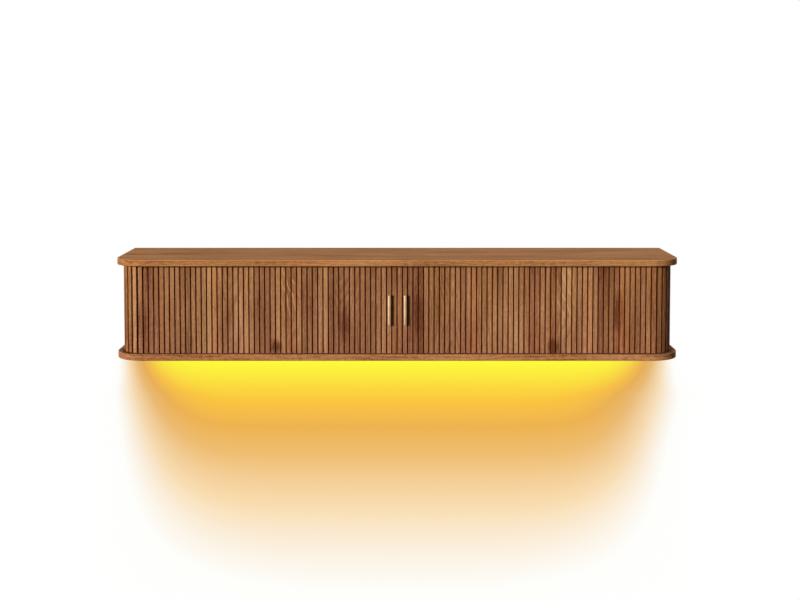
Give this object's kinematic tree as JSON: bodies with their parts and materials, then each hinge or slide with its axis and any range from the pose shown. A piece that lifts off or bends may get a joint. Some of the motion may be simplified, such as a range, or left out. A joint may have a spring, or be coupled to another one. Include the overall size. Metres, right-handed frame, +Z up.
{
  "type": "floating media console",
  "caption": "Wall-hung long low walnut console with two slatted tambour doors round its corners, brass bar handles and a light strip below.",
  "frame": {"origin": "middle of the row of wall screws, on the wall's face", "axes": "+X to the right seen from the room, +Y into the wall, +Z up"},
  "size_m": [1.8, 0.35, 0.32],
  "materials": {
    "walnut_boards": "satin lacquered walnut veneer",
    "walnut_slats": "satin lacquered walnut",
    "walnut_interior": "satin lacquered walnut veneer",
    "back_board": "satin lacquered walnut veneer",
    "canvas": "dark woven cotton canvas",
    "brass": "satin brushed brass",
    "steel": "zinc plated",
    "beech": "plain turned beech",
    "aluminium": "natural anodised",
    "black_plastic": "fine grained moulding",
    "diffuser": "frosted, lit warm yellow",
    "white_tape": "matt white circuit tape",
    "light_chip": "phosphor gel",
    "black_lead": "matt sheath"
  },
  "bodies": {
    "carcass": {"top_panel": "walnut_boards", "bottom_panel": "walnut_boards", "left_side_panel": "walnut_interior", "right_side_panel": "walnut_interior", "center_divider": "walnut_interior", "inner_back_panel": "walnut_interior", "left_shelf": "walnut_interior", "right_shelf": "walnut_interior", "outer_back_panel": "back_board", "left_rear_post": "back_board", "right_rear_post": "back_board", "dowels": "beech", "cam_bolts": "steel", "cam_discs": "steel", "shelf_pins": "steel", "inner_back_screws": "steel", "cleat_screws": "steel", "power_box_screws": "steel", "wall_cleat": "aluminium", "cabinet_cleat": "aluminium", "led_channel": "aluminium", "led_tape": "white_tape", "led_chips": "light_chip", "led_diffuser": "diffuser", "led_end_caps": "black_plastic", "led_power_box": "black_plastic", "dc_inlet": "black_plastic", "led_feed_lead": "black_lead", "track_stops": "black_plastic", "left_port_sleeve": "black_plastic", "left_run_slats": "walnut_slats", "left_side_slats": "walnut_slats", "left_run_canvas": "canvas", "left_side_canvas": "canvas", "right_port_sleeve": "black_plastic", "right_run_slats": "walnut_slats", "right_side_slats": "walnut_slats", "right_run_canvas": "canvas", "right_side_canvas": "canvas"},
    "left_door": {"left_lead_slats": "walnut_slats", "left_lead_canvas": "canvas", "left_handle": "brass", "left_handle_screws": "steel"},
    "right_door": {"right_lead_slats": "walnut_slats", "right_lead_canvas": "canvas", "right_handle": "brass", "right_handle_screws": "steel"}
  },
  "joints": [
    {"name": "left_door_slide", "type": "slide", "parent": "carcass", "child": "left_door", "axis": [-1, 0, 0], "range_m": [0, 0.753], "deforming": ["left_run_slats", "left_run_canvas"]},
    {"name": "right_door_slide", "type": "slide", "parent": "carcass", "child": "right_door", "axis": [1, 0, 0], "range_m": [0, 0.753], "deforming": ["right_run_slats", "right_run_canvas"]}
  ]
}
